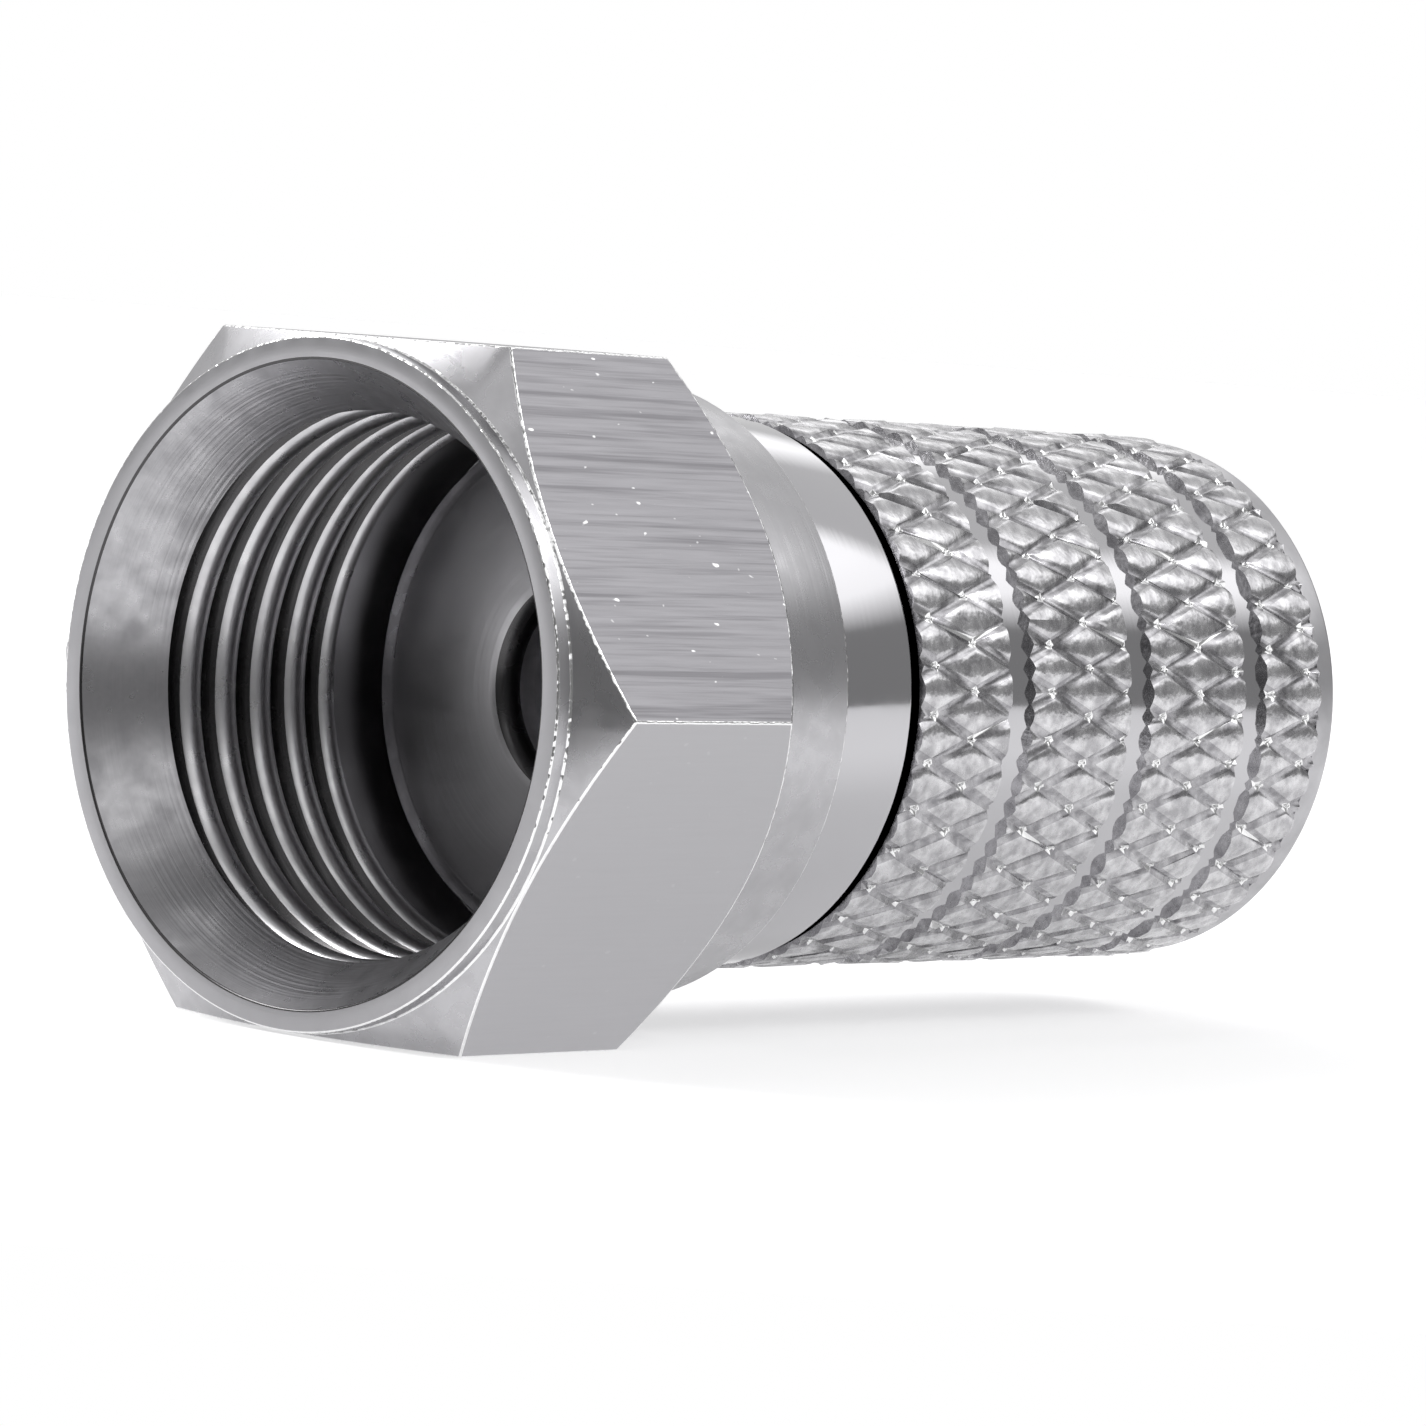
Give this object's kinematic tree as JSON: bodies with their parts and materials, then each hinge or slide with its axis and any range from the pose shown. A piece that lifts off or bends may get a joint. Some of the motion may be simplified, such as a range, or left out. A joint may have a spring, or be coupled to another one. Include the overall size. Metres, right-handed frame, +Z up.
{
  "type": "screw-on coaxial f connector",
  "caption": "Plug for coaxial cable: a hexagon coupling nut with an internal thread turns freely on a round knurled body with a cable bore.",
  "frame": {"origin": "centre of the coupling nut's open mouth, in the plane of its front face", "axes": "+X along the connector towards the cable end, +Z up, with one flat of the hexagon underneath"},
  "size_m": [0.0211, 0.0128, 0.011],
  "materials": {
    "nut_plating": "nickel plated brass, flats brushed along the axis",
    "body_plating": "nickel plated brass, bright turned and knurled"
  },
  "bodies": {
    "connector_body": {"connector_body": "body_plating"},
    "coupling_nut": {"coupling_nut": "nut_plating"}
  },
  "joints": [
    {"name": "nut_spin", "type": "hinge", "parent": "connector_body", "child": "coupling_nut", "pos_m": [0.0069, 0, 0], "axis": [1, 0, 0], "continuous": true}
  ]
}
